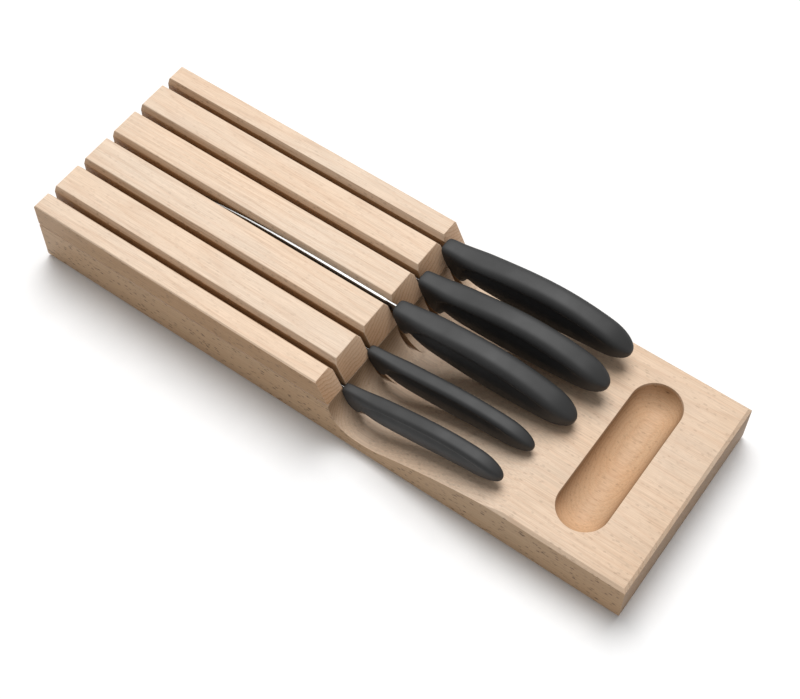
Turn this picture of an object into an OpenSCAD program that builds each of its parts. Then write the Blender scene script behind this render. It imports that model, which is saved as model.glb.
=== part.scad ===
// Drawer knife block with five knives lying flat in open-topped slots.
// +Z is up, the tray end is at -Y, the blade tips point to +Y, and Z = 0 is the underside.

/* [Block] */
// Width of the block, across the slots
block_width = 130; // [126:1:150]
// Length of the base board, from the tray end to the back end
block_length = 391; // [385:1:420]
// Thickness of the base board
base_thickness = 30.2; // [29:0.2:33]
// Height of the ribs above the base board
rib_height = 16.5; // [15:0.5:19]
// Length of the ribs along their top face
rib_length = 199; // [196:1:204]
// How far the ribs' front face leans out, from its top edge to the base board
front_lean = 7.4; // [6:0.2:8]
// Chamfer along the base board's outer edges
edge_chamfer = 1.8; // [0.5:0.1:2.5]
// Chamfer along the outer ribs' top edge
rib_chamfer = 0.8; // [0.5:0.1:2]

/* [Slots] */
// Distance between two slots' centres
slot_pitch = 25; // [24:0.5:25]
// Width of the saw kerf that a blade stands in
kerf_width = 3; // [2.8:0.1:3.6]
// Width of a slot's flared mouth at the ribs' top face
mouth_width = 7; // [6:0.5:9]
// Depth of the flared mouth
mouth_depth = 3.5; // [2:0.5:9]
// Height of the kerfs' floor above the underside
kerf_floor = 10.7; // [10.6:0.1:11.3]

/* [Finger scoop] */
// Wood left under the scoop's lowest line
scoop_floor = 10.4; // [8:0.2:10.6]
// Distance from the ribs' top front edge to the scoop's lowest line
scoop_reach = 27.5; // [25:0.5:29]
// Distance from the ribs' top front edge to where the scoop meets the tray
scoop_end = 118; // [114:1:122]

/* [Tray recess] */
// Length of the recess, across the block
recess_length = 102; // [70:1:108]
// Width of the recess
recess_width = 29.5; // [20:0.5:34]
// Depth of the recess
recess_depth = 12.5; // [8:0.5:14]
// Distance from the tray end to the recess's centre line
recess_inset = 42.3; // [36:0.1:44]

/* [Knives] */
// Thickness of the two small blades at the spine
small_blade_thickness = 1.3; // [1.1:0.1:1.8]
// Thickness of the three large blades at the spine
large_blade_thickness = 1.5; // [1.3:0.1:2.2]
// Width of a small handle at its widest
small_handle_width = 10.8; // [10:0.2:13]
// Width of a large handle at its widest
large_handle_width = 16.4; // [15:0.2:18]
// Height of a small handle at its fullest
small_handle_height = 19.1; // [18:0.1:19.4]
// Height of a large handle at its fullest
large_handle_height = 27.6; // [26.4:0.1:28]

/* [Hidden] */

WOOD = [0.85, 0.70, 0.54];
RIB_WOOD = [0.90, 0.77, 0.62];
STEEL = [0.78, 0.79, 0.80];
POLYMER = [0.10, 0.10, 0.11];

back_y = block_length / 2;
tray_y = -block_length / 2;
rib_front_y = back_y - rib_length;   // the ribs' top front edge
seam_ease = 0.7;                     // small bevel along the glue line
overcut = 1;                         // how far a cutter runs past a face

// Slots are numbered 0 to 4 from left to right.
SLOT_COUNT = 5;
function slot_x(slot) = (slot - (SLOT_COUNT - 1) / 2) * slot_pitch;

// A curve from its first control point to its last, drawn towards the ones between.
function curve_point(c, t) = len(c) == 1 ? c[0]
    : curve_point([for (i = [0:len(c) - 2]) (1 - t) * c[i] + t * c[i + 1]], t);
function curve(c, steps, first = 0) = [for (i = [first:steps]) curve_point(c, i / steps)];

// ---- block --------------------------------------------------------------

// A bar of square section on its edge, along X or Y, that cuts a chamfer of this size.
module chamfer_bar(length, size, along_x = false) {
    rotate(along_x ? [0, 0, 90] : [0, 0, 0])
        rotate([0, 45, 0])
            cube([size * sqrt(2), length, size * sqrt(2)], center = true);
}

// Side outline of the finger scoop, as distances from the ribs' top front edge and heights.
// It drops down the wall below the ribs, turns at the lowest line and rises to the tray.
scoop_wall = [[-front_lean, base_thickness], [-front_lean - 1, base_thickness - 9],
              [-front_lean - 5, scoop_floor], [-scoop_reach, scoop_floor]];
scoop_heel = [-scoop_reach - 17, scoop_floor + 3];
scoop_turn = [[-scoop_reach, scoop_floor], [-scoop_reach - 7, scoop_floor],
              scoop_heel + [6, -2], scoop_heel];
scoop_rise = [scoop_heel, scoop_heel + [-24, 8], [-scoop_end + 24, base_thickness - 3.2],
              [-scoop_end, base_thickness]];

module finger_scoop() {
    outline = concat([[-front_lean, base_thickness + overcut]],
                     curve(scoop_wall, 16), curve(scoop_turn, 8, 1), curve(scoop_rise, 20, 1),
                     [[-scoop_end, base_thickness + overcut]]);
    translate([-block_width / 2 - overcut, rib_front_y, 0])
        rotate([90, 0, 90])
            linear_extrude(block_width + 2 * overcut)
                polygon(outline);
}

// The round-bottomed trough in the tray, with ball ends.
module tray_recess() {
    half_width = recess_width / 2;
    cutter_radius = (half_width * half_width + recess_depth * recess_depth) / (2 * recess_depth);
    end_x = recess_length / 2 - half_width;
    translate([0, tray_y + recess_inset, base_thickness + cutter_radius - recess_depth]) {
        rotate([0, 90, 0])
            cylinder(h = 2 * end_x, r = cutter_radius, center = true, $fn = 96);
        for (side = [-1, 1])
            translate([side * end_x, 0, 0])
                sphere(r = cutter_radius, $fn = 96);
    }
}

// The saw kerfs run out into the scoop at the front and through the back end.
module kerfs() {
    for (slot = [0:SLOT_COUNT - 1])
        translate([slot_x(slot) - kerf_width / 2, rib_front_y - scoop_reach, kerf_floor])
            cube([kerf_width, rib_length + scoop_reach + overcut, base_thickness]);
}

module base_board() {
    tray_length = rib_front_y - tray_y;
    color(WOOD)
        difference() {
            translate([-block_width / 2, tray_y, 0])
                cube([block_width, block_length, base_thickness]);
            finger_scoop();
            tray_recess();
            kerfs();
            for (side = [-1, 1]) {
                translate([side * block_width / 2, 0, 0])
                    chamfer_bar(block_length + 2 * overcut, edge_chamfer);
                translate([0, side * back_y, 0])
                    chamfer_bar(block_width + 2 * overcut, edge_chamfer, true);
                translate([side * block_width / 2, tray_y + tray_length / 2 - overcut, base_thickness])
                    chamfer_bar(tray_length + 2 * overcut, edge_chamfer);
                translate([side * block_width / 2, back_y - rib_length / 2, base_thickness])
                    chamfer_bar(rib_length + 2 * front_lean, seam_ease);
            }
            translate([0, tray_y, base_thickness])
                chamfer_bar(block_width + 2 * overcut, edge_chamfer, true);
            translate([0, back_y, base_thickness])
                chamfer_bar(block_width + 2 * overcut, seam_ease, true);
        }
}

// Side outline of every rib: a leaning front face, square at the back.
rib_side = [[-front_lean, 0], [rib_length - seam_ease, 0], [rib_length, seam_ease],
            [rib_length, rib_height - seam_ease], [rib_length - seam_ease, rib_height],
            [0, rib_height]];

// A rib's cross-section is the polygon given, seen from the front end.
module rib(section) {
    color(RIB_WOOD)
        translate([0, rib_front_y, base_thickness])
            intersection() {
                translate([0, rib_length + overcut, 0])
                    rotate([90, 0, 0])
                        linear_extrude(rib_length + front_lean + 2 * overcut)
                            polygon(section);
                translate([-block_width / 2 - overcut, 0, 0])
                    rotate([90, 0, 90])
                        linear_extrude(block_width + 2 * overcut)
                            polygon(rib_side);
            }
}

// The wall of a slot beside a rib: straight along the kerf, flared at the mouth.
// side is 1 where the slot lies to the rib's left and -1 where it lies to its right.
function slot_wall(slot, side) = [
    [slot_x(slot) + side * kerf_width / 2, 0],
    [slot_x(slot) + side * kerf_width / 2, rib_height - mouth_depth],
    [slot_x(slot) + side * mouth_width / 2, rib_height]];
function turned(points) = [for (i = [len(points) - 1:-1:0]) points[i]];

// A rib between two slots.
module inner_rib(left_slot) {
    rib(concat(slot_wall(left_slot, 1), turned(slot_wall(left_slot + 1, -1))));
}

// A rib between the outermost slot and the block's side, which is -1 or 1.
module outer_rib(side) {
    slot = side < 0 ? 0 : SLOT_COUNT - 1;
    outer_x = side * block_width / 2;
    rib(concat(slot_wall(slot, side),
               [[outer_x - side * rib_chamfer, rib_height], [outer_x, rib_height - rib_chamfer],
                [outer_x, seam_ease], [outer_x - side * seam_ease, 0]]));
}

module rib_left_outer() { outer_rib(-1); }
module rib_left_second() { inner_rib(0); }
module rib_left_inner() { inner_rib(1); }
module rib_right_inner() { inner_rib(2); }
module rib_right_second() { inner_rib(3); }
module rib_right_outer() { outer_rib(1); }

// ---- knives -------------------------------------------------------------
// Every knife is drawn with Y = 0 at the ribs' top front edge and Z at its true height.

module in_slot(slot) {
    translate([slot_x(slot), rib_front_y, 0])
        children();
}

blade_gap = 0.4;                     // between a cutting edge and the kerf's floor
edge_z = kerf_floor + blade_gap;

// A size of knife: handle width and height, blade thickness, tang length and height, the
// control heights of the handle's side profile and its width in front, both as shares of
// the fullest, and the height of the finger arch.
SMALL = [small_handle_width, small_handle_height, small_blade_thickness, 56, 5,
         [0.63, 0.93, 1.19, 0.96, 0.6], 0.71, 1];
LARGE = [large_handle_width, large_handle_height, large_blade_thickness, 72, 7,
         [0.471, 0.761, 1.377, 0.942, 0.449], 0.74, 1.5];
function handle_width(knife) = knife[0][0];
function handle_height(knife) = knife[0][1];
function thickness(knife) = knife[0][2];
function tang_length(knife) = knife[0][3];
function tang_height(knife) = knife[0][4];
function side_profile(knife) = knife[0][5];
function front_width(knife) = knife[0][6];
function finger_arch(knife) = knife[0][7];

// A knife: its size, the handle's front, the handle's length, the five control heights of
// the handle's top line, the tang's middle height in front, the spine curve, the edge curve,
// the edge's steps and tooth depth, and the finger guard's place, depth and half length. The
// curves hold distances behind the ribs' top front edge and heights; the spine runs out to
// the tip and the edge runs back from it.
PARING = [SMALL, -9.8, 99, [31.4, 35.9, 44.6, 48.8, 42.4], 26.3,
          [[-8, 29.3], [25, 29.5], [62, 29.5], [84, 17]],
          [[84, 17], [72, 13.2], [50, edge_z], [0, edge_z]], [16, 0], [4, 4.5, 5.5]];
TOMATO = [SMALL, -8.1, 103.7, [35.9, 37.9, 44.6, 46.9, 40.7], 30.8,
          [[-8, 33], [35, 32.4], [102, 31.5], [108, 23]],
          [[108, 23], [104, edge_z + 1], [70, edge_z], [0, edge_z]], [72, 0.7], [4, 4.5, 5.5]];
CHEF = [LARGE, -8.4, 112.8, [47.4, 50.5, 58.9, 54.6, 43.9], 41.8,
        [[-8, 45.4], [50, 44.4], [128, 50], [163, 25]],
        [[163, 25], [140, 15], [100, edge_z], [3, edge_z]], [24, 0], [2, 5.5, 4.2]];
BREAD = [LARGE, -7.5, 117.9, [45.7, 47.6, 63.7, 58, 48.8], 39.4,
         [[-8, 39], [12, 36.4], [172, 38], [184, 27]],
         [[184, 27], [176, edge_z + 1], [120, edge_z + 0.2], [3, edge_z + 2]], [80, 1.2],
         [7.5, 9, 8]];
CARVING = [LARGE, -5.7, 118.8, [46.4, 48.4, 63.9, 59.5, 49], 40.2,
           [[-8, 39.5], [8, 36.4], [132, 38.2], [186, 17]],
           [[186, 17], [166, edge_z], [120, edge_z + 0.2], [3, edge_z + 2]], [24, 0],
           [7.5, 9, 8]];
function front(knife) = knife[1];
function handle_length(knife) = knife[2];
function top_line(knife) = knife[3];
function tang_middle(knife) = knife[4];
function spine(knife) = knife[5];
function edge(knife) = knife[6];
function edge_steps(knife) = knife[7][0];
function tooth(knife) = knife[7][1];
function guard_place(knife) = knife[8][0];
function guard(knife) = knife[8][1];
function guard_reach(knife) = knife[8][2];
function root_low(knife) = tang_middle(knife) - tang_height(knife) / 2 - 0.5;
function root_high(knife) = spine(knife)[0][1];

// ---- handles ------------------------------------------------------------

// Handle sections are superellipses; a higher power is a squarer section.
SECTION_POWER = 2.6;
RING_SIDES = 28;
RINGS = 34;
function signed_power(v, power) = sign(v) * pow(abs(v), power);

// How full the handle is, u millimetres from either end: blunt in front, round at the end.
function front_fill(u) = u >= 5 ? 1 : 0.84 + 0.16 * pow(1 - pow(1 - u / 5, 2.4), 1 / 2.4);
function end_fill(u) = u >= 17 ? 1 : pow(max(0, 1 - pow(1 - u / 17, 2.3)), 1 / 2.3);
// How wide it is: it widens over the first 26 mm and narrows a little over the rear half.
function ease(v) = v * v * (3 - 2 * v);
function width_share(knife, u, t) =
    (front_width(knife) + (1 - front_width(knife)) * ease(min(1, u / 26)))
    * (1 - 0.08 * pow(max(0, 2 * t - 1), 2));
// Extra depth below the handle, u millimetres from its front: a blunt finger guard and,
// 9 mm behind it, the arch that the forefinger lies in.
function guard_depth(knife, u) =
    guard(knife) * exp(-pow((u - guard_place(knife)) / guard_reach(knife), 4))
    - finger_arch(knife) * exp(-pow((u - guard_place(knife) - 9) / 5.5, 2));
// The front face leans back like the ribs' front face does; the lean fades over 20 mm.
FRONT_RAKE = 0.39;
function rake(u) = u >= 20 ? 0 : FRONT_RAKE * pow(1 - u / 20, 2);

// The handle's height and the height of its middle, at a fraction t of its length.
function full_height(knife, t) = handle_height(knife) * curve_point(side_profile(knife), t);
function middle(knife, t) = curve_point(top_line(knife), t) - full_height(knife, t) / 2;

// One section of the handle, at a fraction t of its length.
function handle_ring(knife, t) =
    let (u = t * handle_length(knife),
         fill = front_fill(u) * end_fill(handle_length(knife) - u),
         half_w = handle_width(knife) / 2 * width_share(knife, u, t) * fill,
         half_h = full_height(knife, t) / 2 * fill)
    [for (k = [0:RING_SIDES - 1])
        let (angle = 360 * k / RING_SIDES,
             across = signed_power(cos(angle), 2 / SECTION_POWER),
             rise = signed_power(sin(angle), 2 / SECTION_POWER),
             below = rise < 0 ? guard_depth(knife, u) * fill : 0,
             off_middle = (half_h + below) * rise)
        [half_w * across, front(knife) - u + rake(u) * off_middle,
         middle(knife, t) + off_middle]];

// Rings lie closer together where the ends turn round.
function ring_place(i) = (1 - cos(180 * i / RINGS)) / 2 * 0.998;

module handle_body(knife) {
    rings = [for (i = [0:RINGS]) handle_ring(knife, ring_place(i))];
    sides = [for (i = [0:RINGS - 1], k = [0:RING_SIDES - 1])
        let (a = i * RING_SIDES + k, b = i * RING_SIDES + (k + 1) % RING_SIDES)
        [a, a + RING_SIDES, b + RING_SIDES, b]];
    front_face = [for (k = [0:RING_SIDES - 1]) k];
    end_face = [for (k = [RING_SIDES - 1:-1:0]) RINGS * RING_SIDES + k];
    polyhedron(points = [for (ring = rings) each ring],
               faces = concat([front_face], sides, [end_face]), convexity = 4);
}

// The flat tang that the handle is moulded round. It rises to the handle's middle.
module tang(knife) {
    half = tang_height(knife) / 2;
    start = front(knife) - 1.5;
    end = front(knife) - tang_length(knife);
    end_middle = middle(knife, tang_length(knife) / handle_length(knife));
    translate([-thickness(knife) / 2, 0, 0])
        rotate([90, 0, 90])
            linear_extrude(thickness(knife))
                polygon([[start, tang_middle(knife) - half], [start, tang_middle(knife) + half],
                         [end, end_middle + half], [end, end_middle - half]]);
}

// The blade's full-height root is seated this far into the handle's front face.
SEAT_DEPTH = 3;
module blade_seat(knife) {
    translate([-thickness(knife) / 2, front(knife) - SEAT_DEPTH, root_low(knife)])
        cube([thickness(knife), SEAT_DEPTH + 6, root_high(knife) - root_low(knife)]);
}

module handle(knife, slot) {
    color(POLYMER)
        in_slot(slot)
            difference() {
                handle_body(knife);
                tang(knife);
                blade_seat(knife);
            }
}

// ---- blades -------------------------------------------------------------

// Points along the edge from the tip. On a serrated edge every second one is lifted, and
// the teeth grow to their full depth over the first third.
function edge_points(knife) =
    let (steps = edge_steps(knife))
    [for (i = [1:steps])
        curve_point(edge(knife), i / steps)
        + [0, i % 2 == 1 ? tooth(knife) * min(1, 3 * i / steps) : 0]];

// A blade's outline: root, spine out to the tip, edge back to the heel, rounded at its corner.
SPINE_STEPS = 14;
function blade_outline(knife) =
    let (heel = edge(knife)[3], root_y = front(knife) - SEAT_DEPTH)
    concat([[root_y, root_low(knife)], [root_y, root_high(knife)]],
           curve(spine(knife), SPINE_STEPS), edge_points(knife),
           [heel + [-1, 1.5], [heel[0] - 2, root_low(knife)]]);

// The blade is a plate that tapers to a thin edge below its grind line.
EDGE_THICKNESS = 0.3;
GRIND_SHARE = 0.7;
module ground_blade(knife) {
    half = thickness(knife) / 2;
    low = min([for (p = edge(knife)) p[1]]);
    grind_top = low + (root_high(knife) - low) * GRIND_SHARE;
    top = root_high(knife) + overcut;
    intersection() {
        translate([-half, 0, 0])
            rotate([90, 0, 90])
                linear_extrude(2 * half)
                    polygon(blade_outline(knife));
        translate([0, rib_length, 0])
            rotate([90, 0, 0])
                linear_extrude(rib_length - front(knife) + SEAT_DEPTH + overcut)
                    polygon([[-EDGE_THICKNESS / 2, low - overcut], [EDGE_THICKNESS / 2, low - overcut],
                             [half, grind_top], [half, top], [-half, top], [-half, grind_top]]);
    }
}

module blade(knife, slot) {
    color(STEEL)
        in_slot(slot) {
            ground_blade(knife);
            tang(knife);
        }
}

module paring_blade() { blade(PARING, 0); }
module paring_handle() { handle(PARING, 0); }
module tomato_blade() { blade(TOMATO, 1); }
module tomato_handle() { handle(TOMATO, 1); }
module chef_blade() { blade(CHEF, 2); }
module chef_handle() { handle(CHEF, 2); }
module bread_blade() { blade(BREAD, 3); }
module bread_handle() { handle(BREAD, 3); }
module carving_blade() { blade(CARVING, 4); }
module carving_handle() { handle(CARVING, 4); }

base_board();
rib_left_outer();
rib_left_second();
rib_left_inner();
rib_right_inner();
rib_right_second();
rib_right_outer();
paring_blade();
paring_handle();
tomato_blade();
tomato_handle();
chef_blade();
chef_handle();
bread_blade();
bread_handle();
carving_blade();
carving_handle();
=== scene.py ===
"""Visual model of a drawer knife block: a beech block with five knives lying in its slots."""
import math

import bmesh
import bpy
from mathutils import Matrix, Vector


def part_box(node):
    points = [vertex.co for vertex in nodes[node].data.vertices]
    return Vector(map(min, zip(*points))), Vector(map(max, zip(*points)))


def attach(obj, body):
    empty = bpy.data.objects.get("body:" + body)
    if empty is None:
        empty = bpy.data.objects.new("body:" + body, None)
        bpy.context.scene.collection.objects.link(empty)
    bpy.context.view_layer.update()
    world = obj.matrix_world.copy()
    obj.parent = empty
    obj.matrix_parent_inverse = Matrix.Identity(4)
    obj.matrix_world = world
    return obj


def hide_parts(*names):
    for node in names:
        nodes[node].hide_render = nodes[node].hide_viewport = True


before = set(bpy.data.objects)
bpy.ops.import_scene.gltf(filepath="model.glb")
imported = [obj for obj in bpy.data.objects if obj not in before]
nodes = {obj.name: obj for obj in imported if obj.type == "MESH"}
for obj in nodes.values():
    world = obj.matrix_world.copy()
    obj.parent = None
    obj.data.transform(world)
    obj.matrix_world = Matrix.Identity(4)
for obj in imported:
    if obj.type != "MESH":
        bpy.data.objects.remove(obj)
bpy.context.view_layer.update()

MM = 0.001
RIBS = ["rib_left_outer", "rib_left_second", "rib_left_inner",
        "rib_right_inner", "rib_right_second", "rib_right_outer"]
scene = bpy.context.scene

# ---- camera ---------------------------------------------------------------

CAMERA_AZIMUTH = -54.46
CAMERA_ELEVATION = 57.63
CAMERA_ROLL = 0.10
CAMERA_DISTANCE = 0.8925
CAMERA_TARGET = Vector((0.0017, -0.0106, 0.0))
CAMERA_LENS = 71.0


def direction(azimuth, elevation):
    """The unit vector from the object towards this azimuth and elevation, in degrees."""
    a, e = math.radians(azimuth), math.radians(elevation)
    return Vector((math.sin(a) * math.cos(e), -math.cos(a) * math.cos(e), math.sin(e)))


def make_camera():
    back = direction(CAMERA_AZIMUTH, CAMERA_ELEVATION)
    right = (-back).cross(Vector((0, 0, 1))).normalized()
    up = right.cross(-back)
    data = bpy.data.cameras.new("camera")
    data.lens = CAMERA_LENS
    data.sensor_width = 36
    camera = bpy.data.objects.new("camera", data)
    scene.collection.objects.link(camera)
    facing = Matrix((right, up, back)).transposed()
    roll = Matrix.Rotation(math.radians(CAMERA_ROLL), 3, "Z")
    place = Matrix.Translation(CAMERA_TARGET + back * CAMERA_DISTANCE)
    camera.matrix_world = place @ (facing @ roll).to_4x4()
    scene.camera = camera


# ---- floor and light --------------------------------------------------------

FLOOR_REACH = 8
SURROUND_STRENGTH = 0.33


def add_object(name, bm, rounded=True):
    """A new object from a bmesh, with its faces shaded smooth or flat."""
    mesh = bpy.data.meshes.new(name)
    bm.to_mesh(mesh)
    bm.free()
    for polygon in mesh.polygons:
        polygon.use_smooth = rounded
    made = bpy.data.objects.new(name, mesh)
    scene.collection.objects.link(made)
    return made


def make_floor(material):
    bm = bmesh.new()
    bmesh.ops.create_grid(bm, x_segments=1, y_segments=1, size=FLOOR_REACH)
    floor = add_object("floor", bm, rounded=False)
    floor.data.materials.append(material)


def area_light(name, azimuth, elevation, distance, size, power):
    data = bpy.data.lights.new(name, "AREA")
    data.shape = "DISK"
    data.size = size
    data.energy = power
    light = bpy.data.objects.new(name, data)
    scene.collection.objects.link(light)
    towards = direction(azimuth, elevation)
    light.location = towards * distance
    light.rotation_mode = "QUATERNION"
    light.rotation_quaternion = towards.to_track_quat("Z", "Y")


def make_light():
    area_light("key", 124, 66, 6.0, 4.75, 388)
    world = bpy.data.worlds.new("studio")
    world.use_nodes = True
    background = world.node_tree.nodes["Background"]
    background.inputs["Color"].default_value = (1, 1, 1, 1)
    background.inputs["Strength"].default_value = SURROUND_STRENGTH
    scene.world = world
    scene.view_settings.view_transform = "Standard"


# ---- materials --------------------------------------------------------------


def new_material(name):
    """An empty node material and its Principled shader."""
    material = bpy.data.materials.new(name)
    material.use_nodes = True
    return material, material.node_tree, material.node_tree.nodes["Principled BSDF"]


def put(tree, kind, inputs=None, **settings):
    """Adds a node. Each input is a value or another node's output, which is then linked."""
    made = tree.nodes.new("ShaderNode" + kind)
    for key, value in settings.items():
        setattr(made, key, value)
    for key, value in (inputs or {}).items():
        if isinstance(value, bpy.types.NodeSocket):
            tree.links.new(value, made.inputs[key])
        else:
            made.inputs[key].default_value = value
    return made


def maths(tree, operation, a, b=0.0, c=0.0):
    return put(tree, "Math", {0: a, 1: b, 2: c}, operation=operation).outputs[0]


def ramp(tree, value, stops):
    """A grey ramp: stops are (position, brightness) from left to right."""
    made = put(tree, "ValToRGB", {0: value})
    elements = made.color_ramp.elements
    while len(elements) < len(stops):
        elements.new(0.5)
    for element, (position, grey) in zip(elements, stops):
        element.position = position
        element.color = (grey, grey, grey, 1)
    return made.outputs[0]


def blend_colour(tree, share, a, b, mode="MIX"):
    made = put(tree, "Mix", {0: share, 6: a, 7: b}, data_type="RGBA", blend_type=mode)
    return made.outputs[2]


def add_bump(tree, shader, height, strength, depth):
    """Fine relief in the shader's normal; depth is in millimetres."""
    bump = put(tree, "Bump", {"Height": height, "Strength": strength, "Distance": depth * MM})
    tree.links.new(bump.outputs[0], shader.inputs["Normal"])


def stretched_noise(tree, coords, size, detail=2.0, roughness=0.5):
    """Noise whose features have this size along X, Y and Z, in millimetres."""
    scale = tuple(1 / (s * MM) for s in size)
    mapped = put(tree, "Mapping", {"Vector": coords, "Scale": scale}).outputs[0]
    inputs = {"Vector": mapped, "Scale": 1.0, "Detail": detail, "Roughness": roughness}
    return put(tree, "TexNoise", inputs).outputs[0]


DEEP = (0.60, 0.37, 0.235)
RING_SPACING = 2.1 * MM
RING_BEND = 9 * MM
RING_RIPPLE = 0.9 * MM
TROUGH_HALF_LENGTH = 56 * MM
TROUGH_HALF_WIDTH = 19 * MM
# painted shade inside the routed trough, together with the routed surface's own darker tone
TROUGH_SHADE_AND_TONE = (0.83, 0.71, 0.58)


def growth_rings(tree, log, piece):
    """Rings round the log's heart, from 0 in pale early wood to 1 in dark late wood."""
    across = put(tree, "VectorMath", {0: log, 1: (1, 0, 1)}, operation="MULTIPLY").outputs[0]
    radius = put(tree, "VectorMath", {0: across}, operation="LENGTH").outputs["Value"]
    bend = maths(tree, "MULTIPLY", stretched_noise(tree, piece, (22, 170, 22), 2.5), RING_BEND)
    fine = stretched_noise(tree, piece, (3.5, 40, 3.5), 2.0)
    ripple = maths(tree, "MULTIPLY", fine, RING_RIPPLE)
    waved = maths(tree, "ADD", maths(tree, "ADD", radius, bend), ripple)
    place = maths(tree, "FRACT", maths(tree, "DIVIDE", waved, RING_SPACING))
    return ramp(tree, place, [(0, 0.25), (0.12, 0.0), (0.6, 0.18), (0.88, 1.0), (1, 0.35)])


def ray_flecks(tree, piece, side):
    """Short spindles along the grain, gathered in patches and clearest on sawn sides."""
    bend = put(tree, "TexNoise", {"Vector": piece, "Scale": 900.0, "Detail": 1.0}).outputs[1]
    jittered = put(tree, "VectorMath", {0: bend, 1: (0.001, 0.0022, 0.001), 2: piece},
                   operation="MULTIPLY_ADD").outputs[0]
    cells = put(tree, "Mapping", {"Vector": jittered, "Scale": (470, 210, 470)}).outputs[0]
    spot = put(tree, "TexVoronoi", {"Vector": cells, "Scale": 1.0, "Randomness": 1.0}).outputs[0]
    spindle = ramp(tree, spot, [(0.15, 1), (0.33, 0)])
    patch = ramp(tree, stretched_noise(tree, piece, (5, 16, 5), 2.0), [(0.4, 0.3), (0.55, 1)])
    on_side = maths(tree, "MULTIPLY_ADD", side, 0.75, 0.25)
    return maths(tree, "MULTIPLY", maths(tree, "MULTIPLY", spindle, patch), on_side)


def inside_trough(tree, coords, trough):
    """1 inside the routed trough, whose middle is at this y and whose rim is at this z."""
    # the mask of the trough's painted shade, strongest below its rim
    place = put(tree, "SeparateXYZ", {0: coords})
    across = maths(tree, "COMPARE", place.outputs[0], 0.0, TROUGH_HALF_LENGTH)
    along = maths(tree, "COMPARE", place.outputs[1], trough[0], TROUGH_HALF_WIDTH)
    height = maths(tree, "DIVIDE", place.outputs[2], trough[1])
    within = maths(tree, "MULTIPLY", across, along)
    return maths(tree, "MULTIPLY", within, ramp(tree, height, [(0.93, 1), (0.985, 0)]))


def beech(name, pith, seed, pale, fleck_strength, painted_side_shade, end_grain_and_shade, trough=None):
    """Beech with its grain along Y.

    pith is the (x, z) place of the log's heart in millimetres, seed sets the piece of log
    and pale is the early wood's colour. The side tone is painted shade that darkens the sawn
    sides, which face +-X; the end tone is the end grain's own darker tone together with
    painted shade, on the faces towards +-Y.
    trough is the (y, z) of the middle of a routed trough, inside which shade is painted
    along with the routed surface's own darker tone.
    """
    material, tree, shader = new_material(name)
    here = put(tree, "TexCoord")
    shift = (seed * 0.137, seed * 0.291, seed * 0.073)
    tilt = (math.radians(1.3 - 0.7 * (seed % 3)), 0, math.radians(0.5 * (seed % 2) - 0.3))
    coords = here.outputs["Object"]
    piece = put(tree, "Mapping", {"Vector": coords, "Location": shift}).outputs[0]
    log = put(tree, "Mapping", {"Vector": coords, "Rotation": tilt,
                                "Location": (-pith[0] * MM, 0, -pith[1] * MM)}).outputs[0]
    facing = put(tree, "SeparateXYZ", {0: here.outputs["Normal"]})
    side = maths(tree, "POWER", maths(tree, "ABSOLUTE", facing.outputs[0]), 5)
    end = maths(tree, "POWER", maths(tree, "ABSOLUTE", facing.outputs[1]), 6)

    # fibres, pores and soft clouds of colour
    fibre = stretched_noise(tree, piece, (0.45, 26, 0.45), 3.0, 0.65)
    pores = ramp(tree, stretched_noise(tree, piece, (0.22, 3.2, 0.22), 1.0), [(0.6, 0), (0.74, 1)])
    cloud = stretched_noise(tree, piece, (30, 120, 30), 3.0)
    fleck = ray_flecks(tree, piece, side)

    # the rings are plainest in the end grain
    ring_share = maths(tree, "MULTIPLY_ADD", end, 0.75, 0.24)
    ring = maths(tree, "MULTIPLY", growth_rings(tree, log, piece), ring_share)
    colour = blend_colour(tree, ring, (*pale, 1), (*DEEP, 1))
    soft = ramp(tree, fibre, [(0.3, 0.74), (0.62, 1.0)])
    colour = blend_colour(tree, 0.8, colour, soft, "MULTIPLY")
    warm = blend_colour(tree, ramp(tree, cloud, [(0.35, 0), (0.65, 1)]),
                        (1.0, 0.97, 0.93, 1), (0.97, 0.99, 1.0, 1))
    colour = blend_colour(tree, 1.0, colour, warm, "MULTIPLY")
    colour = blend_colour(tree, maths(tree, "MULTIPLY", pores, 0.4), colour, (*DEEP, 1))
    dark = tuple(c * 0.3 for c in DEEP)
    colour = blend_colour(tree, maths(tree, "MULTIPLY", fleck, fleck_strength), colour, (*dark, 1))
    # painted shade: the sides and end faces are darkened for the light they miss, the end faces
    # also by the end grain's own tone
    for share, tone in ((side, painted_side_shade), (end, end_grain_and_shade)):
        tint = blend_colour(tree, share, (1, 1, 1, 1), (*tone, 1))
        colour = blend_colour(tree, 1.0, colour, tint, "MULTIPLY")
    if trough:
        # painted shade in the trough, with the routed surface's own darker tone
        share = inside_trough(tree, coords, trough)
        colour = blend_colour(tree, share, colour, (*TROUGH_SHADE_AND_TONE, 1), "MULTIPLY")
    tree.links.new(colour, shader.inputs["Base Color"])

    rough = ramp(tree, fibre, [(0.3, 0.62), (0.7, 0.48)])
    tree.links.new(rough, shader.inputs["Roughness"])
    shader.inputs["Specular IOR Level"].default_value = 0.3
    hollows = maths(tree, "ADD", maths(tree, "MULTIPLY", pores, 0.5),
                    maths(tree, "MULTIPLY", fleck, 0.3))
    relief = maths(tree, "SUBTRACT", maths(tree, "MULTIPLY", fibre, 0.7), hollows)
    add_bump(tree, shader, relief, 0.35, 0.06)
    return material


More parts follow.
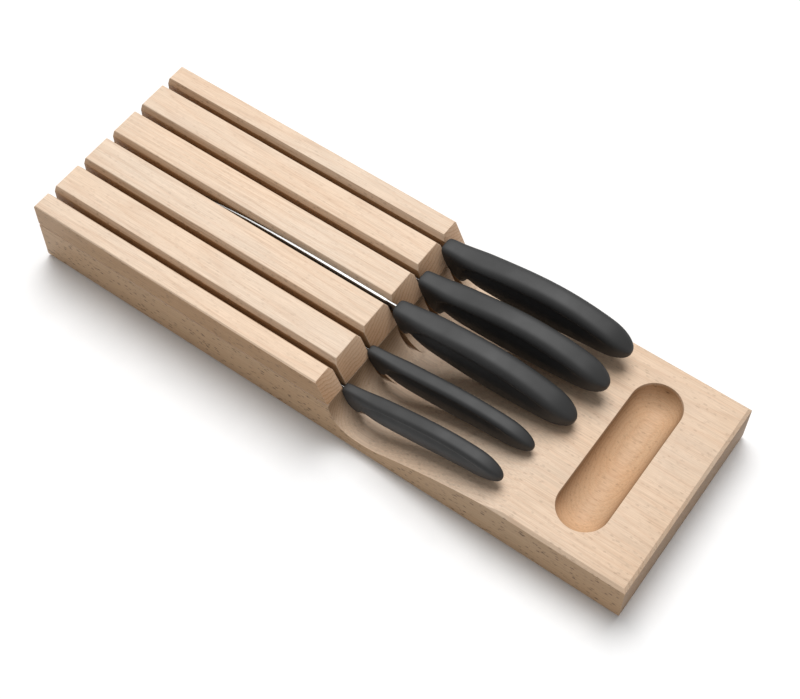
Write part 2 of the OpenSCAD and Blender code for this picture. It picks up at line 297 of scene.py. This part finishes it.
def black_polymer():
    """Satin black moulded polymer with a fine spark-eroded texture."""
    material, tree, shader = new_material("black_polymer")
    here = put(tree, "TexCoord").outputs["Object"]
    grain = put(tree, "TexNoise", {"Vector": here, "Scale": 4200.0, "Detail": 2.0}).outputs[0]
    cloud = put(tree, "TexNoise", {"Vector": here, "Scale": 90.0, "Detail": 3.0}).outputs[0]
    tone = ramp(tree, cloud, [(0.3, 0.021), (0.7, 0.026)])
    tree.links.new(tone, shader.inputs["Base Color"])
    rough = ramp(tree, cloud, [(0.3, 0.6), (0.7, 0.56)])
    tree.links.new(rough, shader.inputs["Roughness"])
    shader.inputs["Specular IOR Level"].default_value = 0.5
    add_bump(tree, shader, grain, 0.25, 0.03)
    return material


def ground_steel():
    """Stainless steel with fine grinding lines that run from spine to edge."""
    material, tree, shader = new_material("ground_steel")
    here = put(tree, "TexCoord").outputs["Object"]
    lines = stretched_noise(tree, here, (2, 0.12, 14), 2.0, 0.6)
    cloud = stretched_noise(tree, here, (10, 12, 12), 2.0)
    tone = ramp(tree, lines, [(0.3, 0.28), (0.7, 0.38)])
    tree.links.new(tone, shader.inputs["Base Color"])
    shader.inputs["Metallic"].default_value = 1
    along_lines = ramp(tree, lines, [(0.3, 0.34), (0.7, 0.44)])
    rough = maths(tree, "ADD", along_lines, maths(tree, "MULTIPLY", cloud, 0.08))
    tree.links.new(rough, shader.inputs["Roughness"])
    add_bump(tree, shader, lines, 0.2, 0.01)
    return material


def floor_paper():
    material, tree, shader = new_material("floor_paper")
    here = put(tree, "TexCoord").outputs["Object"]
    fibre = put(tree, "TexNoise", {"Vector": here, "Scale": 60.0, "Detail": 3.0}).outputs[0]
    tree.links.new(ramp(tree, fibre, [(0.3, 0.9), (0.7, 0.92)]), shader.inputs["Base Color"])
    shader.inputs["Roughness"].default_value = 0.9
    shader.inputs["Specular IOR Level"].default_value = 0.1
    return material


# ---- block ------------------------------------------------------------------


def dress(node, material):
    node.data.materials.clear()
    node.data.materials.append(material)


def round_edges(node, width, segments=3, angle=28):
    """Softens a CAD node's sharp edges with modifiers, which leave its mesh as it is."""
    weld = node.modifiers.new("weld", "WELD")
    weld.merge_threshold = 0.00001
    flat = node.modifiers.new("flat", "DECIMATE")
    flat.decimate_type = "DISSOLVE"
    flat.angle_limit = math.radians(0.5)
    bevel = node.modifiers.new("bevel", "BEVEL")
    bevel.width = width
    bevel.segments = segments
    bevel.limit_method = "ANGLE"
    bevel.angle_limit = math.radians(angle)
    bevel.harden_normals = True
    bevel.use_clamp_overlap = True
    for polygon in node.data.polygons:
        polygon.use_smooth = True


# the side and end tones are painted shade on the sawn sides and end faces; the end tone also holds
# the end grain's own tone
BOARD = {"pale": (0.75, 0.565, 0.415), "fleck_strength": 0.95,
         "painted_side_shade": (0.68, 0.6, 0.48), "end_grain_and_shade": (0.48, 0.42, 0.34)}
RIB = {"pale": (0.79, 0.615, 0.468), "fleck_strength": 0.55,
       "painted_side_shade": (0.58, 0.46, 0.32), "end_grain_and_shade": (0.96, 0.73, 0.52)}
BOARD_PITH = (18, -85)
RIB_PITHS = [(-90, -70), (-20, -110), (25, -95), (-60, 150), (70, -85), (10, -100)]
BOARD_SEED, FIRST_RIB_SEED = 3, 5
TROUGH_INSET = 42.3 * MM


def make_block():
    low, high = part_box("base_board")
    trough = (low.y + TROUGH_INSET, high.z)
    board = nodes["base_board"]
    round_edges(board, 0.35 * MM)
    dress(board, beech("beech_board", pith=BOARD_PITH, seed=BOARD_SEED, trough=trough, **BOARD))
    for i, (name, pith) in enumerate(zip(RIBS, RIB_PITHS)):
        round_edges(nodes[name], 0.4 * MM)
        dress(nodes[name], beech("beech_" + name, pith=pith, seed=FIRST_RIB_SEED + i, **RIB))


# ---- knives -----------------------------------------------------------------
# Millimetres, with Y = 0 at the ribs' top front edge, as the CAD part draws them.
# A size holds the handle's width and height, its side profile and front width (as shares),
# the finger arch's depth, the grip hollow's depth and upper line (crease, as a share of the
# half height), and the blade's thickness.

SMALL = {"width": 10.8, "height": 19.1, "profile": (0.63, 0.93, 1.19, 0.96, 0.6),
         "front_width": 0.71, "arch": 1, "hollow": 1.3, "crease": 0.79, "steel": 1.3}
LARGE = {"width": 16.4, "height": 27.6, "profile": (0.471, 0.761, 1.377, 0.942, 0.449),
         "front_width": 0.74, "arch": 1.5, "hollow": 2.2, "crease": 0.66, "steel": 1.5}
# front is the handle's front face. The top line, spine and edge are the control points of
# curves: the spine runs out to the tip and the edge runs back from it. guard is the finger
# guard's place, depth and half length, root the blade's low and high side at the handle,
# teeth a serrated edge's pitch.
KNIVES = {
    "paring": {"size": SMALL, "front": -9.8, "length": 99,
               "top": (31.4, 35.9, 44.6, 48.8, 42.4), "root": (23.8, 29.3), "guard": (4, 4.5, 5.5),
               "spine": ((-8, 29.3), (25, 29.5), (62, 29.5), (84, 17)),
               "edge": ((84, 17), (72, 13.2), (50, 11.1), (0, 11.1)), "teeth": 0},
    "tomato": {"size": SMALL, "front": -8.1, "length": 103.7,
               "top": (35.9, 37.9, 44.6, 46.9, 40.7), "root": (28.3, 33), "guard": (4, 4.5, 5.5),
               "spine": ((-8, 33), (35, 32.4), (102, 31.5), (108, 23)),
               "edge": ((108, 23), (104, 12.1), (70, 11.1), (0, 11.1)), "teeth": 2.6},
    "chef": {"size": LARGE, "front": -8.4, "length": 112.8,
             "top": (47.4, 50.5, 58.9, 54.6, 43.9), "root": (38.3, 45.4), "guard": (2, 5.5, 4.2),
             "spine": ((-8, 45.4), (50, 44.4), (128, 50), (163, 25)),
             "edge": ((163, 25), (140, 15), (100, 11.1), (3, 11.1)), "teeth": 0},
    "bread": {"size": LARGE, "front": -7.5, "length": 117.9,
              "top": (45.7, 47.6, 63.7, 58, 48.8), "root": (35.9, 39), "guard": (7.5, 9, 8),
              "spine": ((-8, 39), (12, 36.4), (172, 38), (184, 27)),
              "edge": ((184, 27), (176, 12.1), (120, 11.3), (3, 13.1)), "teeth": 5.2},
    "carving": {"size": LARGE, "front": -5.7, "length": 118.8,
                "top": (46.4, 48.4, 63.9, 59.5, 49), "root": (36.7, 39.5), "guard": (7.5, 9, 8),
                "spine": ((-8, 39.5), (8, 36.4), (132, 38.2), (186, 17)),
                "edge": ((186, 17), (166, 11.1), (120, 11.3), (3, 13.1)), "teeth": 0},
}
RIB_LENGTH = 199
RIB_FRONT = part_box("rib_left_outer")[1].y / MM - RIB_LENGTH
TOP_POWER, LOWER_POWER = 3.5, 2.6   # superellipse powers of a section's two halves
SECTION_SIDES = 72
RING_COUNT = 150
FRONT_FILL, FRONT_ROUND = 0.84, 5    # the front face's share and the length it rounds over
END_ROUND = 17
FRONT_RAKE, RAKE_LENGTH = 0.39, 20   # the front leans back like the ribs' front
FRONT_TAPER = 26
REAR_TAPER = 0.08
ARCH_BEHIND, ARCH_REACH = 9, 5.5     # the finger arch lies just behind the guard
HOLLOW_START, HOLLOW_TOP = 9, 25     # where the grip hollow's line starts and tops out


def curve(points, t):
    """A curve from its first control point to its last, drawn towards the ones between."""
    points = [Vector(p) if isinstance(p, tuple) else p for p in points]
    while len(points) > 1:
        points = [a * (1 - t) + b * t for a, b in zip(points, points[1:])]
    return points[0]


def smooth(low, high, x):
    t = max(0.0, min(1.0, (x - low) / (high - low)))
    return t * t * (3 - 2 * t)


def signed_power(v, power):
    return math.copysign(abs(v) ** power, v)


def fullness(u, length):
    """How full the handle is u from its front: blunt in front and round at the end."""
    front = end = 1.0
    if u < FRONT_ROUND:
        rounding = (1 - (1 - u / FRONT_ROUND) ** 2.4) ** (1 / 2.4)
        front = FRONT_FILL + (1 - FRONT_FILL) * rounding
    rest = length - u
    if rest < END_ROUND:
        end = max(0.0, 1 - (1 - rest / END_ROUND) ** 2.3) ** (1 / 2.3)
    return front * end


def hollow_line(u, length, crease):
    """Where the grip hollow's upper line runs, as a share of the half height. It starts
    behind the finger guard, arches up and runs along the handle below the crowned top."""
    if u <= HOLLOW_START:
        return -1.6
    if u >= HOLLOW_TOP:
        return crease - 0.12 * smooth(0.55 * length, length, u)
    before = (HOLLOW_TOP - u) / (HOLLOW_TOP - HOLLOW_START)
    return -1.1 + (crease + 1.1) * math.sqrt(1 - before ** 2)


def hollow_depth(knife, u, rise):
    """Depth of the grip hollow at one point of a section: a quick step in below its upper
    line and a slow run out to the belly."""
    length = knife["length"]
    below = hollow_line(u, length, knife["size"]["crease"]) - rise
    step = smooth(0, 0.13, below)
    run_out = 1 - smooth(0.13, 0.68, below)
    along = smooth(HOLLOW_START, 17, u) * (1 - smooth(0.72 * length, 0.93 * length, u))
    return knife["size"]["hollow"] * step * run_out * along


def guard_depth(knife, u):
    """How far the underside drops at the finger guard and rises at the finger arch."""
    place, depth, reach = knife["guard"]
    guard = depth * math.exp(-(((u - place) / reach) ** 4))
    arch = math.exp(-(((u - place - ARCH_BEHIND) / ARCH_REACH) ** 2))
    return guard - knife["size"]["arch"] * arch


def handle_ring(knife, x, t):
    """One section of the handle, at a fraction t of its length."""
    size = knife["size"]
    length = knife["length"]
    u = t * length
    fill = fullness(u, length)
    narrow = size["front_width"] + (1 - size["front_width"]) * smooth(0, FRONT_TAPER, u)
    rear = 1 - REAR_TAPER * max(0, 2 * t - 1) ** 2
    half_width = size["width"] / 2 * narrow * rear * fill
    full_height = size["height"] * curve(size["profile"], t)
    middle = curve(knife["top"], t) - full_height / 2
    guard = guard_depth(knife, u) * fill
    rake = 0 if u >= RAKE_LENGTH else FRONT_RAKE * (1 - u / RAKE_LENGTH) ** 2
    ring = []
    for k in range(SECTION_SIDES):
        angle = 2 * math.pi * k / SECTION_SIDES
        power = TOP_POWER if math.sin(angle) > 0 else LOWER_POWER
        across = signed_power(math.cos(angle), 2 / power)
        rise = signed_power(math.sin(angle), 2 / power)
        off = full_height / 2 * fill * rise + (guard * rise if rise < 0 else 0)
        half = half_width * across
        inward = hollow_depth(knife, u, rise) * min(1, abs(half) / 2)
        half -= math.copysign(inward, half)
        ring.append(Vector((x + half, RIB_FRONT + knife["front"] - u + rake * off,
                            middle + off)) * MM)
    return ring


def slot_x(node):
    """Millimetres across the block to the middle of this node, which is its slot's too."""
    low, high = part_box(node)
    return (low.x + high.x) / 2 / MM


def lofted(name, sections, rounded):
    """A closed object through sections that all have the same number of points."""
    bm = bmesh.new()
    rings = [[bm.verts.new(p) for p in section] for section in sections]
    around = len(rings[0])
    for a, b in zip(rings, rings[1:]):
        for k in range(around):
            n = (k + 1) % around
            bm.faces.new((a[k], a[n], b[n], b[k]))
    bm.faces.new(list(reversed(rings[0])))
    bm.faces.new(rings[-1])
    bmesh.ops.recalc_face_normals(bm, faces=bm.faces)
    return add_object(name, bm, rounded)


def make_handle(name, knife, material):
    """A moulded handle, its rings closer together where the ends turn round."""
    x = slot_x(name + "_handle")
    places = [(1 - math.cos(math.pi * i / RING_COUNT)) / 2 * 0.998 for i in range(RING_COUNT + 1)]
    handle = lofted(name + "_grip", [handle_ring(knife, x, t) for t in places], rounded=True)
    handle.data.materials.append(material)
    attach(handle, name + "_knife")
    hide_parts(name + "_handle")


BLADE_ROWS = 14
CURVE_STEPS = 60
EDGE_HALF = 0.012      # half the cutting edge's thickness
BEVEL_HALF = 0.1       # half the thickness above the cutting bevel
BEVEL_HEIGHT = 0.8
SPINE_EASE = 0.12      # the spine's eased corners


def edge_line(knife, edge, y):
    """Height of the cutting edge at y, with scallops between the points of its teeth."""
    height = height_at(edge, y)
    pitch = knife["teeth"]
    if pitch:
        tip, heel = edge[0][0], edge[-1][0]
        fade = smooth(0, 12, tip - y) * smooth(0, 8, y - heel)
        height += 0.16 * pitch * fade * math.sin(math.pi * ((y - heel) / pitch % 1))
    return height


def height_at(line, y):
    """Height of a line of (y, z) points at y. The points run one way along Y."""
    for a, b in zip(line, line[1:]):
        if min(a[0], b[0]) <= y <= max(a[0], b[0]) and a[0] != b[0]:
            return a[1] + (b[1] - a[1]) * (y - a[0]) / (b[0] - a[0])
    return line[0][1] if abs(y - line[0][0]) < abs(y - line[-1][0]) else line[-1][1]


def half_thickness(knife, depth, tall, to_tip):
    """Half the blade's thickness this far below the spine of a blade this tall."""
    full = knife["size"]["steel"] / 2 * (0.35 + 0.65 * smooth(0, 1, min(1, to_tip / 150)))
    up = max(0.0, tall - depth)
    grind = BEVEL_HALF + (full - BEVEL_HALF) * min(1, up / (0.85 * max(tall, 14)))
    if up < BEVEL_HEIGHT:
        grind = min(grind, BEVEL_HALF * up / BEVEL_HEIGHT + 0.02)
    return max(EDGE_HALF, min(grind, full))


def blade_stations(knife, edge):
    """Places along the blade from its root to its tip, close together at teeth and tip."""
    root = knife["front"] - 2.5
    tip = edge[0][0] - 0.15
    step = knife["teeth"] / 8 if knife["teeth"] else 1.2
    count = int((tip - root) / step)
    return [tip - (tip - root) * (1 - i / count) ** 1.02 for i in range(count + 1)]


def blade_column(knife, spine, edge, x, y):
    """Points down the right side and up the left side of a blade at y."""
    heel = edge[-1][0]
    low_root = knife["root"][0]
    top = height_at(spine, y)
    bottom = edge_line(knife, edge, y) if y > heel else low_root
    if heel - 2.5 < y <= heel:
        bottom = low_root + (edge[-1][1] - low_root) * smooth(heel - 2.5, heel, y)
    tall = top - bottom
    to_tip = edge[0][0] - y
    right = []
    for row in range(BLADE_ROWS + 1):
        depth = tall * (1 - (1 - row / BLADE_ROWS) ** 1.6)
        half = half_thickness(knife, depth, tall, to_tip)
        ease = 0 if row else SPINE_EASE
        right.append(Vector((x + max(EDGE_HALF, half - ease), RIB_FRONT + y, top - depth)) * MM)
        if row == 0:
            corner = top - min(SPINE_EASE, tall / 4)
            right.append(Vector((x + half, RIB_FRONT + y, corner)) * MM)
    left = [Vector((2 * x * MM - p.x, p.y, p.z)) for p in reversed(right)]
    return right + left


def make_blade(name, knife, material):
    """A ground blade: flat spine with eased corners, full grind and a fine cutting bevel."""
    x = slot_x(name + "_blade")
    spine, edge = (
        [tuple(curve(knife[line], i / CURVE_STEPS)) for i in range(CURVE_STEPS + 1)]
        for line in ("spine", "edge"))
    columns = [blade_column(knife, spine, edge, x, y) for y in blade_stations(knife, edge)]
    blade = lofted(name + "_steel", columns, rounded=False)
    blade.data.materials.append(material)
    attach(blade, name + "_knife")
    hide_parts(name + "_blade")


make_camera()
make_floor(floor_paper())
make_light()
make_block()
polymer = black_polymer()
steel = ground_steel()
for name, knife in KNIVES.items():
    make_handle(name, knife, polymer)
    make_blade(name, knife, steel)
